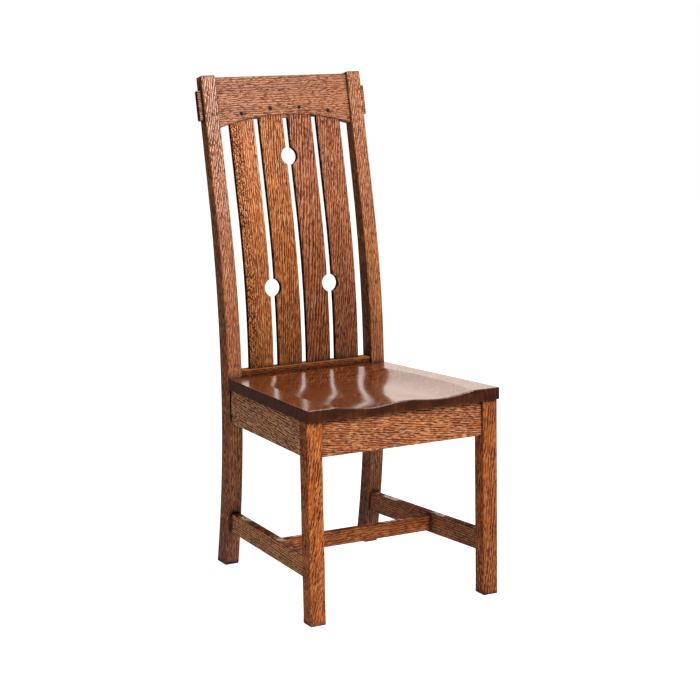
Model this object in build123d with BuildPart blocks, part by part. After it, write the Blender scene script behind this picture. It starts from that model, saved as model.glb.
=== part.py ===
"""Oak side chair: raked posts, curved slats, saddled plank seat and an H-stretcher.

Millimetres, +Z up, the sitter faces -Y. The origin is on the floor, under the middle of the
chair's overall width and depth.
"""
import os
from math import cos, radians, sin, sqrt, tan

from build123d import *

os.makedirs("parts", exist_ok=True)

# Heights and plan
chair_height = 1115.0  # floor to the front top edge of the posts
seat_height = 457.0  # floor to the seat's front top edge
seat_pitch = 1.5  # degrees that seat, aprons and stretchers fall towards the back
leg_spread = 453.0  # across the outer faces of the front legs
post_spread = 398.5  # across the outer faces of the back posts
leg_to_post = 448.0  # front faces of the legs to front faces of the posts at the waist

# Front legs
leg_section = 35.5
leg_arris = 2.0
foot_chamfer = 2.0

# Back posts, plumb at the waist and bent backwards above and below it
post_width = 34.0
post_waist_depth = 43.0
post_waist_height = 435.0
back_rake = 11.6  # degrees, front faces of the posts, crest rail and slats
post_front_bend = 1825.0
post_back_rake = 10.7
post_back_bend = 2275.0
foot_front_rake = 11.3
foot_front_bend = 1930.0
foot_back_rake = 13.3
foot_back_bend = 1850.0
post_arris = 1.5
post_end_chamfer = 2.0

# Crest rail
crest_thickness = 20.0
crest_height = 114.0  # at its ends, measured up the slope
crest_setback = 5.0  # behind the posts' front faces
crest_reveal = 4.0  # below the posts' top ends
crest_arris = 1.5
arch_rise = 25.5
crest_tenon_thickness = 12.0
crest_tenon_height = 67.0
crest_tenon_lift = 19.0  # above the crest's lower ends
crest_tenon_projection = 11.0  # past the posts' outer faces
crest_tenon_chamfer = 2.0

# Back slats
slat_width = 59.2
slat_gap = 13.2
slat_thickness = 12.0
slat_setback = 3.2  # behind the crest's front face
slat_bend = 1680.0
slat_waist_height = 480.0  # plumb below this height
slat_arris = 1.2
slat_top_housing = 27.0  # depth of the slats in the crest rail
slat_foot_housing = 25.0  # depth of the slats in the rear rail
cutout_radius = 20.5
upper_cutout_height = 930.0
lower_cutout_height = 638.5

# Pegs that lock the slats in the crest rail
peg_radius = 4.5
peg_lift = 15.8  # above the arch
peg_length = 16.0
peg_crown = 0.8  # proud of the crest's front face

# Seat
seat_thickness = 26.0
seat_front_overhang = 7.0
seat_side_overhang = 3.6
seat_corner_radius = 5.0
seat_arris = 2.5
seat_clearance = 0.3  # round the posts
hollow_spacing = 160.0  # between the middles of the two thigh hollows
front_hollow_depth = 9.0
front_pommel_depth = 3.0
front_scoop_width = 326.0
middle_station = 165.0  # behind the seat's front edge
middle_hollow_depth = 11.5
middle_pommel_depth = 8.5
middle_scoop_width = 344.0
rear_station = 320.0
rear_hollow_depth = 9.5
rear_scoop_width = 320.0
scoop_length = 415.0  # where the scoop runs out
hollow_wall = 0.68  # share of a hollow's depth that is left halfway to the scoop's edge
scoop_flare_width = 33.0  # of the cutter, outside the scoop
scoop_flare_height = 6.0

# Aprons and rear rail
apron_thickness = 20.0
apron_height = 77.0
apron_setback = 5.5  # behind the faces of legs and posts
apron_arris = 1.5
rear_rail_thickness = 32.0
rear_rail_top = 459.5
rear_rail_round = 3.0

# Stretchers
stretcher_thickness = 19.0
stretcher_height = 46.0
stretcher_top = 139.0  # at the back faces of the front legs
stretcher_setback = 9.5
stretcher_arris = 1.5
scribe_length = 12.0  # of a side rail, inside the post, before its shoulder is scribed
cross_thickness = 14.0
cross_height = 34.0
cross_distance = 219.0  # behind the legs' front faces

# Tenons
tenon_cheek = 5.0  # taken off each side of a rail
tenon_shoulder = 10.0  # taken off a rail's top and bottom
side_tenon = 10.0
front_tenon = 22.0
rear_tenon = 22.0
rear_tenon_thickness = 12.0
stretcher_tenon = 16.0
cross_tenon = 10.0

# Glued corner blocks, each with a screw up into the seat
block_reach = 45.0
block_height = 38.0
block_clearance = 2.0  # round legs and posts
screw_inset = 11.0  # from the leg's or post's inner corner
screw_radius = 2.1
screw_head_radius = 4.2
screw_head_height = 2.6
screw_bite = 13.0  # in the seat
screw_clearance = 0.1


def bend_run(rise, radius, rake):
    """Horizontal run of a face that bends off plumb and then leans straight at its rake."""
    arc_rise = radius * sin(radians(rake))
    if rise <= arc_rise:
        return radius - sqrt(radius**2 - rise**2)
    return radius * (1 - cos(radians(rake))) + (rise - arc_rise) * tan(radians(rake))


def lean(distance, rake):
    """Vector of a given length up a slope that leans backwards by its rake."""
    return Vector(0, distance * sin(radians(rake)), distance * cos(radians(rake)))


# Depths, from the front leg back to the posts' crown
rise_to_crown = chair_height - post_waist_height
front_run = bend_run(rise_to_crown, post_front_bend, back_rake)
back_run = bend_run(rise_to_crown, post_back_bend, post_back_rake)
crown_depth = post_waist_depth + back_run - front_run
crown_tangents = tan(radians(back_rake)) * tan(radians(post_back_rake))
crown_drop = crown_depth * tan(radians(back_rake)) / (1 + crown_tangents)
crown_back_run = back_run - crown_drop * tan(radians(post_back_rake))
overall_depth = seat_front_overhang + leg_to_post + post_waist_depth + crown_back_run
seat_front = -overall_depth / 2
leg_front = seat_front + seat_front_overhang
leg_back = leg_front + leg_section
post_front = leg_front + leg_to_post
post_back = post_front + post_waist_depth
crown_front = Vector(0, post_front + front_run, chair_height)

# Faces that several pieces share
leg_inner = -(leg_spread / 2 - leg_section)
post_outer = -post_spread / 2
post_inner = post_outer + post_width
pitch_normal = (0, sin(radians(seat_pitch)), cos(radians(seat_pitch)))
seat_top = Plane(origin=(0, seat_front, seat_height), x_dir=(1, 0, 0), z_dir=pitch_normal)
seat_underside = seat_top.offset(-seat_thickness)
crest_foot = crown_front - lean(crest_reveal + crest_height, back_rake)
crest_normal = (0, -cos(radians(back_rake)), sin(radians(back_rake)))
crest_front = Plane(origin=crest_foot, x_dir=(1, 0, 0), z_dir=crest_normal).offset(-crest_setback)
slat_front = crest_front.offset(-slat_setback)
slat_bend_top = slat_waist_height + slat_bend * sin(radians(back_rake))
slat_bend_end = slat_front.origin.Y + (slat_bend_top - slat_front.origin.Z) * tan(radians(back_rake))
slat_waist = slat_bend_end - slat_bend * (1 - cos(radians(back_rake)))
rear_rail_middle = slat_waist + slat_thickness / 2
rear_rail_front = rear_rail_middle - rear_rail_thickness / 2


def height_on(plane, depth):
    """Height of a plane that leans about X, above a given depth."""
    return plane.origin.Z - (depth - plane.origin.Y) * plane.z_dir.Y / plane.z_dir.Z


def side_line(depth, inset, post_face):
    """Left-hand X of a line set in from the straight that joins leg and post outer faces.

    post_face is the depth of the post's front face at the line's level.
    """
    taper = (leg_spread - post_spread) / 2 / (post_face - leg_back)
    return -leg_spread / 2 + taper * (depth - leg_back) + inset


def side_bar(top, front, back, inset, thickness, height, post_face):
    """Left-hand bar with an upright section that follows the side line and the seat's pitch.

    top is the bar's upper plane, front and back its ends along Y and inset its outer face.
    """
    ends = []
    for depth in (front, back):
        middle = side_line(depth, inset + thickness / 2, post_face)
        ends.append(Vector(middle, depth, height_on(top, depth) - height / 2))
    run = ends[1] - ends[0]
    with BuildPart() as made:
        with BuildSketch(Plane(origin=ends[0], x_dir=(1, 0, 0), z_dir=(0, -1, 0))):
            Rectangle(thickness, height)
        extrude(amount=run.length, dir=run.normalized())
    return made.part


def side_tenon_bar(top, front, back, inset, thickness, height, post_face):
    """Core of a side bar that its tenons are the ends of."""
    lowered = Plane(top.origin - Vector(0, 0, tenon_shoulder), top.x_dir, top.z_dir)
    core = thickness - 2 * tenon_cheek
    return side_bar(
        lowered, front, back, inset + tenon_cheek, core, height - 2 * tenon_shoulder, post_face
    )


# Left back post before its joints are cut
post_tail = chair_height / 2
with BuildPart() as post_blank:
    with BuildSketch(Plane.YZ.offset(post_outer)):
        with BuildLine():
            front_upper = JernArc((post_front, post_waist_height), (0, 1), post_front_bend, -back_rake)
            front_crown = Line(front_upper @ 1, front_upper @ 1 + (front_upper % 1) * post_tail)
            back_upper = JernArc((post_back, post_waist_height), (0, 1), post_back_bend, -post_back_rake)
            back_crown = Line(back_upper @ 1, back_upper @ 1 + (back_upper % 1) * post_tail)
            Line(front_crown @ 1, back_crown @ 1)
            front_lower = JernArc((post_front, post_waist_height), (0, -1), foot_front_bend, foot_front_rake)
            front_foot = Line(front_lower @ 1, front_lower @ 1 + (front_lower % 1) * post_tail)
            back_lower = JernArc((post_back, post_waist_height), (0, -1), foot_back_bend, foot_back_rake)
            back_foot = Line(back_lower @ 1, back_lower @ 1 + (back_lower % 1) * post_tail)
            Line(front_foot @ 1, back_foot @ 1)
        make_face()
    extrude(amount=post_width)
    split(bisect_by=Plane.XY, keep=Keep.TOP)
    split(bisect_by=Plane(origin=crown_front, x_dir=(1, 0, 0), z_dir=lean(1, back_rake)), keep=Keep.BOTTOM)
    chamfer(post_blank.faces().sort_by(Axis.Z)[0].edges(), length=post_end_chamfer)
    chamfer(post_blank.faces().sort_by(Axis.Z)[-1].edges(), length=post_end_chamfer)
    chamfer(post_blank.edges().filter_by(lambda edge: abs((edge % 0.5).Z) > 0.7), length=post_arris)


# Bars of the seat frame and the stretchers, left-hand side, long enough to scribe to the post
apron_size = (apron_setback, apron_thickness, apron_height, post_front)
apron_bar = side_bar(seat_underside, leg_back, post_front + scribe_length, *apron_size)
apron_core = side_tenon_bar(seat_underside, leg_back - side_tenon, post_front + side_tenon, *apron_size)

stretcher_top_plane = Plane((0, leg_back, stretcher_top), (1, 0, 0), pitch_normal)
stretcher_level = height_on(stretcher_top_plane, post_front) - stretcher_height / 2
stretcher_drop = post_waist_height - stretcher_level
stretcher_end = post_front + bend_run(stretcher_drop, foot_front_bend, foot_front_rake)
stretcher_size = (stretcher_setback, stretcher_thickness, stretcher_height, stretcher_end)
with BuildPart() as stretcher_bar:
    add(side_bar(stretcher_top_plane, leg_back, stretcher_end + scribe_length, *stretcher_size))
    long_edges = stretcher_bar.edges().filter_by(lambda edge: edge.length > leg_to_post / 2)
    chamfer(long_edges, length=stretcher_arris)
stretcher_core = side_tenon_bar(
    stretcher_top_plane, leg_back - stretcher_tenon, stretcher_end + stretcher_tenon, *stretcher_size
)

# Front apron and rear rail cores, whose ends are tenons
apron_front = leg_front + apron_setback
apron_inner = apron_front + apron_thickness
front_apron_top = height_on(seat_underside, apron_front)
front_apron_middle = front_apron_top - apron_height / 2
with BuildPart() as front_apron_core:
    with BuildSketch(Plane.YZ.offset(leg_inner - front_tenon)):
        with Locations((apron_front + apron_thickness / 2, front_apron_middle)):
            Rectangle(apron_thickness - 2 * tenon_cheek, apron_height - 2 * tenon_shoulder)
    extrude(amount=2 * (front_tenon - leg_inner))

rear_rail_foot = height_on(seat_underside, rear_rail_front) - apron_height
rear_rail_height = rear_rail_top - rear_rail_foot
with BuildPart() as rear_rail_core:
    with BuildSketch(Plane.YZ.offset(post_inner - rear_tenon)):
        with Locations((rear_rail_middle, rear_rail_foot + apron_height / 2)):
            Rectangle(rear_tenon_thickness, apron_height - 2 * tenon_shoulder)
    extrude(amount=2 * (rear_tenon - post_inner))

# Crest rail before slats and pegs are let in
crest_half = -post_inner
crest_tenon_span = post_spread + 2 * crest_tenon_projection
crest_tenon_front = crest_front.offset((crest_tenon_thickness - crest_thickness) / 2)
with BuildPart() as crest_tenons:
    with BuildSketch(crest_tenon_front):
        with Locations((0, crest_tenon_lift + crest_tenon_height / 2)):
            Rectangle(crest_tenon_span, crest_tenon_height)
    extrude(amount=-crest_tenon_thickness)
    end_faces = crest_tenons.faces().filter_by(Axis.X)
    chamfer(end_faces.edges(), length=crest_tenon_chamfer)

arch_radius = (crest_half**2 + arch_rise**2) / (2 * arch_rise)


def arch_height(across):
    """Height of the arch above the crest's lower ends, up the slope."""
    return arch_rise - arch_radius + sqrt(arch_radius**2 - across**2)


# Left-hand slats, outer and inner
slat_pitch = slat_width + slat_gap
slat_middles = {"outer": -1.5 * slat_pitch, "inner": -0.5 * slat_pitch}
slat_foot = rear_rail_top - slat_foot_housing
cutouts = [(0, upper_cutout_height), (-slat_pitch, lower_cutout_height), (slat_pitch, lower_cutout_height)]


def slat_blank(across):
    """Slat before its notches are cut, plumb in the rear rail and leaning in the crest rail."""
    top = arch_height(across) + slat_top_housing
    front_end = slat_front.origin + lean(top, back_rake)
    back_end = slat_front.offset(-slat_thickness).origin + lean(top, back_rake)
    with BuildPart() as made:
        with BuildSketch(Plane.YZ.offset(across - slat_width / 2)):
            with BuildLine():
                front_bend = JernArc((slat_waist, slat_waist_height), (0, 1), slat_bend, -back_rake)
                Line(front_bend @ 1, (front_end.Y, front_end.Z))
                Line((front_end.Y, front_end.Z), (back_end.Y, back_end.Z))
                back_waist = (slat_waist + slat_thickness, slat_waist_height)
                back_bend = JernArc(back_waist, (0, 1), slat_bend - slat_thickness, -back_rake)
                Line((back_end.Y, back_end.Z), back_bend @ 1)
                Polyline(
                    back_waist,
                    (slat_waist + slat_thickness, slat_foot),
                    (slat_waist, slat_foot),
                    (slat_waist, slat_waist_height),
                )
            make_face()
        extrude(amount=slat_width)
        chamfer(made.edges().filter_by(lambda edge: abs((edge % 0.5).Z) > 0.7), length=slat_arris)
    return made.part


slat_blanks = {name: slat_blank(across) for name, across in slat_middles.items()}
all_slat_middles = [sign * across for across in slat_middles.values() for sign in (1, -1)]


def peg_tool(length, radius, crown):
    """Pegs of one radius at each slat, from a crown in front of the crest to a depth behind it."""
    spots = [(across, arch_height(across) + peg_lift) for across in all_slat_middles]
    with BuildPart() as made:
        with BuildSketch(crest_front.offset(crown)):
            with Locations(*spots):
                Circle(radius)
        extrude(amount=-(length + crown))
    return made.part


peg_bores = peg_tool(peg_length, peg_radius, 0.0)

# Front legs
with BuildPart() as front_leg:
    with BuildSketch():
        with Locations((leg_inner - leg_section / 2, leg_front + leg_section / 2)):
            Rectangle(leg_section, leg_section)
    extrude(amount=seat_height)
    split(bisect_by=seat_underside, keep=Keep.BOTTOM)
    chamfer(front_leg.faces().sort_by(Axis.Z)[0].edges(), length=foot_chamfer)
    fillet(front_leg.edges().filter_by(Axis.Z), radius=leg_arris)
    add(front_apron_core.part, mode=Mode.SUBTRACT)
    add(apron_core, mode=Mode.SUBTRACT)
    add(stretcher_core, mode=Mode.SUBTRACT)

# Back posts
with BuildPart() as back_post:
    add(post_blank.part)
    add(crest_tenons.part, mode=Mode.SUBTRACT)
    add(rear_rail_core.part, mode=Mode.SUBTRACT)
    add(apron_core, mode=Mode.SUBTRACT)
    add(stretcher_core, mode=Mode.SUBTRACT)

# Corner blocks, notched round leg or post, each with a screw up into the seat
apron_inset = apron_setback + apron_thickness
blocks = {
    "front": {"rail": apron_inner, "x": leg_inner, "y": leg_back, "sense": 1},
    "rear": {"rail": rear_rail_front, "x": post_inner, "y": post_front, "sense": -1},
}
screw_length = block_height + screw_bite


def block_bottom(corner):
    """Level of a block's underside."""
    return height_on(seat_underside, corner["y"]) - block_height


def screw_plane(corner):
    """Plane of a block's underside, centred on its screw."""
    spot = (corner["x"] + screw_inset, corner["y"] + corner["sense"] * screw_inset, block_bottom(corner))
    return Plane(spot, (1, 0, 0), (0, 0, 1))


def screw_shank(corner, clearance=0.0):
    """Shank of a seat screw, or with a clearance the hole for it."""
    with BuildPart() as made:
        with BuildSketch(screw_plane(corner)):
            Circle(screw_radius + clearance)
        extrude(amount=screw_length + clearance)
    return made.part


screw_holes = [screw_shank(corner, screw_clearance) for corner in blocks.values()]


def corner_block(corner):
    """Block glued between two rails, with a notch for the leg or post and a hole for its screw."""
    notch_x = corner["x"] + block_clearance
    notch_y = corner["y"] + corner["sense"] * block_clearance
    far_y = corner["y"] + corner["sense"] * block_reach
    with BuildPart() as made:
        with BuildSketch(Plane.XY.offset(block_bottom(corner))):
            with BuildLine():
                Polyline(
                    (corner["x"] + block_reach, corner["rail"]),
                    (notch_x, corner["rail"]),
                    (notch_x, notch_y),
                    (side_line(notch_y, apron_inset, post_front), notch_y),
                    (side_line(far_y, apron_inset, post_front), far_y),
                    close=True,
                )
            make_face()
        extrude(amount=2 * block_height)
        split(bisect_by=seat_underside, keep=Keep.BOTTOM)
        add(screw_holes, mode=Mode.SUBTRACT)
    return made.part


# Side aprons and side stretchers, with shoulders scribed to the posts
with BuildPart() as side_apron:
    add(apron_bar)
    lower_edges = side_apron.edges().filter_by(lambda edge: edge.length > leg_to_post / 2).group_by(Axis.Z)[0]
    chamfer(lower_edges, length=apron_arris)
    add(post_blank.part, mode=Mode.SUBTRACT)
    add(apron_core)

stretcher_middle = height_on(stretcher_top_plane, leg_front + cross_distance) - stretcher_height / 2
cross_inset = stretcher_setback + stretcher_thickness
cross_front = leg_front + cross_distance
cross_tenon_depth = cross_front + cross_thickness / 2
cross_tenon_end = side_line(cross_tenon_depth, cross_inset - cross_tenon, stretcher_end)
with BuildPart() as cross_core:
    with BuildSketch(Plane.YZ.offset(cross_tenon_end)):
        with Locations((cross_tenon_depth, stretcher_middle)):
            Rectangle(cross_thickness - tenon_cheek, cross_height - tenon_shoulder)
    extrude(amount=-2 * cross_tenon_end)

with BuildPart() as side_stretcher:
    add(stretcher_bar.part)
    add(post_blank.part, mode=Mode.SUBTRACT)
    add(stretcher_core)
    add(cross_core.part, mode=Mode.SUBTRACT)

# Slats with their round notches
slats = {}
for name, blank in slat_blanks.items():
    with BuildPart() as slat:
        add(blank)
        for across, level in cutouts:
            slope = min(back_rake, (level - slat_waist_height) / slat_bend / radians(1))
            facing = (0, -cos(radians(slope)), sin(radians(slope)))
            depth = slat_waist + bend_run(level - slat_waist_height, slat_bend, back_rake)
            with BuildSketch(Plane((across, depth, level), (1, 0, 0), facing)):
                Circle(cutout_radius)
            extrude(amount=2 * slat_thickness, both=True, mode=Mode.SUBTRACT)
        add(peg_bores, mode=Mode.SUBTRACT)
    slats[name] = slat.part

# Left-hand pieces and their right-hand twins
handed = {
    "front_leg": front_leg.part,
    "back_post": back_post.part,
    "side_apron": side_apron.part,
    "side_stretcher": side_stretcher.part,
    "slat_outer": slats["outer"],
    "slat_inner": slats["inner"],
    "corner_block_front": corner_block(blocks["front"]),
    "corner_block_rear": corner_block(blocks["rear"]),
}
twins = {}
for name, piece in handed.items():
    with BuildPart() as twin:
        mirror(piece, about=Plane.YZ)
    twins[name + "_left"] = piece
    twins[name + "_right"] = twin.part

# Crest rail, with its arch, its tenons and the housings for slats and pegs
with BuildPart() as crest_rail:
    with BuildSketch(crest_front):
        with BuildLine():
            ThreePointArc((-crest_half, 0), (0, arch_rise), (crest_half, 0))
            Polyline((crest_half, 0), (crest_half, crest_height), (-crest_half, crest_height), (-crest_half, 0))
        make_face()
    extrude(amount=-crest_thickness)
    long_edges = crest_rail.edges().filter_by(lambda edge: edge.length > crest_half)
    chamfer(long_edges, length=crest_arris)
    add(crest_tenons.part)
    for blank in slat_blanks.values():
        add(blank, mode=Mode.SUBTRACT)
        mirror(blank, about=Plane.YZ, mode=Mode.SUBTRACT)
    add(peg_bores, mode=Mode.SUBTRACT)

# Pegs, slightly crowned
with BuildPart() as crest_pegs:
    add(peg_tool(peg_length, peg_radius, peg_crown))
    crowns = crest_pegs.faces().group_by(Axis(crest_foot, crest_normal))[-1]
    chamfer(crowns.edges(), length=peg_crown / 2)

# Front apron
with BuildPart() as front_apron:
    with BuildSketch(Plane.YZ.offset(leg_inner)):
        with BuildLine():
            Polyline(
                (apron_front, front_apron_top),
                (apron_front, front_apron_top - apron_height),
                (apron_inner, front_apron_top - apron_height),
                (apron_inner, height_on(seat_underside, apron_inner)),
                close=True,
            )
        make_face()
    extrude(amount=-2 * leg_inner)
    chamfer(front_apron.faces().sort_by(Axis.Z)[0].edges().filter_by(Axis.X), length=apron_arris)
    add(front_apron_core.part)

# Rear rail
with BuildPart() as rear_rail:
    with BuildSketch(Plane.YZ.offset(post_inner)):
        with Locations((rear_rail_middle, rear_rail_foot + rear_rail_height / 2)):
            Rectangle(rear_rail_thickness, rear_rail_height)
    extrude(amount=-2 * post_inner)
    fillet(rear_rail.faces().sort_by(Axis.Z)[-1].edges().filter_by(Axis.X), radius=rear_rail_round)
    chamfer(rear_rail.faces().sort_by(Axis.Z)[0].edges().filter_by(Axis.X), length=apron_arris)
    add(rear_rail_core.part)
    for blank in slat_blanks.values():
        add(blank, mode=Mode.SUBTRACT)
        mirror(blank, about=Plane.YZ, mode=Mode.SUBTRACT)

# Cross stretcher, with shoulders scribed to the side stretchers
with BuildPart() as cross_stretcher:
    with BuildSketch(Plane.YZ.offset(cross_tenon_end)):
        with Locations((cross_tenon_depth, stretcher_middle)):
            Rectangle(cross_thickness, cross_height)
    extrude(amount=-2 * cross_tenon_end)
    chamfer(cross_stretcher.edges().filter_by(Axis.X), length=stretcher_arris)
    add(stretcher_bar.part, mode=Mode.SUBTRACT)
    mirror(stretcher_bar.part, about=Plane.YZ, mode=Mode.SUBTRACT)
    add(cross_core.part)

# Cutter for the seat's two thigh hollows, which run together at the back
hollow = hollow_spacing / 2
scoop_tail = scoop_length + (scoop_length - rear_station) * scoop_flare_height / rear_hollow_depth
scoop_sections = [
    (-seat_corner_radius, front_scoop_width, front_hollow_depth, front_pommel_depth, 0.0),
    (middle_station, middle_scoop_width, middle_hollow_depth, middle_pommel_depth, 0.0),
    (rear_station, rear_scoop_width, rear_hollow_depth, rear_hollow_depth, 0.0),
    (scoop_tail, rear_scoop_width, 0.0, 0.0, scoop_flare_height),
]
with BuildPart() as scoop:
    for station, width, hollow_depth, pommel_depth, lift in scoop_sections:
        level = height_on(seat_top, seat_front + station) + lift
        crown = level + seat_thickness
        edge = width / 2
        right = [
            (hollow / 2, level - (hollow_depth + pommel_depth) / 2),
            (hollow, level - hollow_depth),
            ((hollow + edge) / 2, level - hollow_depth * hollow_wall),
            (edge, level),
            (edge + scoop_flare_width, level + scoop_flare_height),
        ]
        left = [(-across, height) for across, height in reversed(right)]
        with BuildSketch(Plane.XZ.offset(-(seat_front + station))):
            with BuildLine():
                Spline(*left, (0, level - pommel_depth), *right)
                Polyline(right[-1], (right[-1][0], crown), (left[0][0], crown), left[0])
            make_face()
    loft()

# Seat plank, notched round the posts
seat_front_half = leg_spread / 2 + seat_side_overhang
seat_back = post_front - seat_clearance
tongue_half = -post_inner - seat_clearance
with BuildPart() as seat:
    with BuildSketch():
        with BuildLine():
            Polyline(
                (-seat_front_half, seat_front),
                (post_outer, seat_back),
                (-tongue_half, seat_back),
                (-tongue_half, rear_rail_front),
                (tongue_half, rear_rail_front),
                (tongue_half, seat_back),
                (-post_outer, seat_back),
                (seat_front_half, seat_front),
                close=True,
            )
        make_face()
    extrude(amount=2 * seat_height)
    split(bisect_by=seat_top, keep=Keep.BOTTOM)
    split(bisect_by=seat_underside, keep=Keep.TOP)
    fillet(seat.edges().filter_by(Axis.Z).group_by(Axis.Y)[0], radius=seat_corner_radius)
    add(scoop.part, mode=Mode.SUBTRACT)
    outer_walls = seat.faces().filter_by(lambda face: abs(face.normal_at().Z) < 0.5)
    outer_walls = outer_walls.filter_by(lambda face: face.center().Y < seat_back - seat_arris)
    wall_edges = outer_walls.edges().filter_by(Axis.Z, reverse=True)
    fillet(wall_edges, radius=seat_arris)
    for hole in screw_holes:
        add(hole, mode=Mode.SUBTRACT)
        mirror(hole, about=Plane.YZ, mode=Mode.SUBTRACT)

# Pan-head screws that hold the seat down
with BuildPart() as seat_screws:
    for corner in blocks.values():
        with BuildSketch(screw_plane(corner)):
            Circle(screw_head_radius)
        extrude(amount=-screw_head_height)
        add(screw_shank(corner))
    mirror(about=Plane.YZ)

pieces = {
    **twins,
    "crest_rail": crest_rail.part,
    "crest_pegs": crest_pegs.part,
    "front_apron": front_apron.part,
    "rear_rail": rear_rail.part,
    "cross_stretcher": cross_stretcher.part,
    "seat": seat.part,
    "seat_screws": seat_screws.part,
}
for name, piece in pieces.items():
    piece.label = name
    export_step(piece, f"parts/{name}.step")
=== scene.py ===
"""Dresses a slat-back oak side chair: quarter-sawn boards, pegs, corner blocks and screws."""

import logging
import math
from dataclasses import dataclass, field, replace
from enum import Enum
from typing import Any

import bmesh
import bpy
from mathutils import Matrix, Vector


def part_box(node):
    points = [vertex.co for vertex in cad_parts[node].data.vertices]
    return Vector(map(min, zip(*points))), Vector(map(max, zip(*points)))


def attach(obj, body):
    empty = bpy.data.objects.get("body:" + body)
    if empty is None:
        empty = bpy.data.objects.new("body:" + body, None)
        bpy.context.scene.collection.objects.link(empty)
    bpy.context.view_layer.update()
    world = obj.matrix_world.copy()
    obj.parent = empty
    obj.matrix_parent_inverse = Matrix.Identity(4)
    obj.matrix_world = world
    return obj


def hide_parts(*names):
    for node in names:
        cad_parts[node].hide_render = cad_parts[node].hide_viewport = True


log = logging.getLogger("side_chair")
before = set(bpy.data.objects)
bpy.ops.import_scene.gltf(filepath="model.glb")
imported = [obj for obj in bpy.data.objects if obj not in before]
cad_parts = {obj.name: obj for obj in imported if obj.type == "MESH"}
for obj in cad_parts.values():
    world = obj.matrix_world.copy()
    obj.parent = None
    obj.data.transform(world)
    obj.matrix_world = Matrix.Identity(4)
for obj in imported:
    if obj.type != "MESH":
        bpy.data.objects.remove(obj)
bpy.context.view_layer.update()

MM = 0.001
IMAGE_WIDTH = 700
SENSOR_WIDTH = 36.0
WHITE = (1.0, 1.0, 1.0, 1.0)


def linear(hex_colour: str) -> tuple[float, float, float, float]:
    """Turns an sRGB hex colour into a linear RGBA colour.

    Args:
        hex_colour: Six hex digits with a leading hash.

    Returns:
        Red, green, blue and an alpha of one, in linear light.
    """
    channels = [int(hex_colour[i:i + 2], 16) / 255 for i in (1, 3, 5)]
    lit = [c / 12.92 if c <= 0.04045 else ((c + 0.055) / 1.055) ** 2.4 for c in channels]
    return (*lit, 1.0)


def add_node(
    tree: bpy.types.NodeTree,
    kind: str,
    inputs: dict[str | int, Any] | None = None,
    **settings: Any,
) -> bpy.types.Node:
    """Adds a shader node with its settings, values and links.

    Args:
        tree: The node tree that gets the node.
        kind: The node's type name, without the leading word Shader.
        inputs: For each input socket a value, or the output socket that feeds it.
        **settings: Properties of the node itself.

    Returns:
        The new node.
    """
    node = tree.nodes.new("Shader" + kind)
    for name, value in settings.items():
        setattr(node, name, value)
    for key, value in (inputs or {}).items():
        if isinstance(value, bpy.types.NodeSocket):
            tree.links.new(value, node.inputs[key])
        else:
            node.inputs[key].default_value = value
    return node


def blank_material(name: str) -> tuple[bpy.types.Material, bpy.types.NodeTree, bpy.types.Node]:
    """Makes a material whose tree holds only an output node.

    Args:
        name: The material's name.

    Returns:
        The material, its node tree and the output node.
    """
    material = bpy.data.materials.new(name)
    material.use_nodes = True
    tree = material.node_tree
    tree.nodes.clear()
    return material, tree, add_node(tree, "NodeOutputMaterial")


def dress(node_name: str, material: bpy.types.Material) -> None:
    """Gives a CAD node its finish and reports it.

    Args:
        node_name: The CAD node.
        material: The finish that covers it.
    """
    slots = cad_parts[node_name].data.materials
    slots.clear()
    slots.append(material)
    log.info("dressed %s in %s", node_name, material.name)


class Grain(Enum):
    """How a board lies: the axes along its grain, through its thickness and across its face."""

    UPRIGHT = ((0, 0, 1), (0, 1, 0), (-1, 0, 0))
    CROSSWISE = ((1, 0, 0), (0, 1, 0), (0, 0, 1))
    LENGTHWISE = ((0, 1, 0), (-1, 0, 0), (0, 0, 1))
    SEAT = ((1, 0, 0), (0, 0, 1), (0, -1, 0))

    def turn(self) -> Matrix:
        """Gives the rotation from the chair's axes to along, through and across the board."""
        return Matrix(self.value)


@dataclass(frozen=True)
class Marks:
    """One family of marks in the wood, such as growth lines, pores or rays.

    Attributes:
        length: Length of a mark along the grain, in millimetres.
        width: Width of a mark, in millimetres.
        lean: Lean of the marks from the grain, in degrees.
        share: How strongly the marks show, from 0 to 1.
        window: The pattern's levels where a mark starts and is full.
    """

    length: float
    width: float
    lean: float = 0.0
    share: float = 0.6
    window: tuple[float, float] = (0.25, 0.75)


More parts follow.
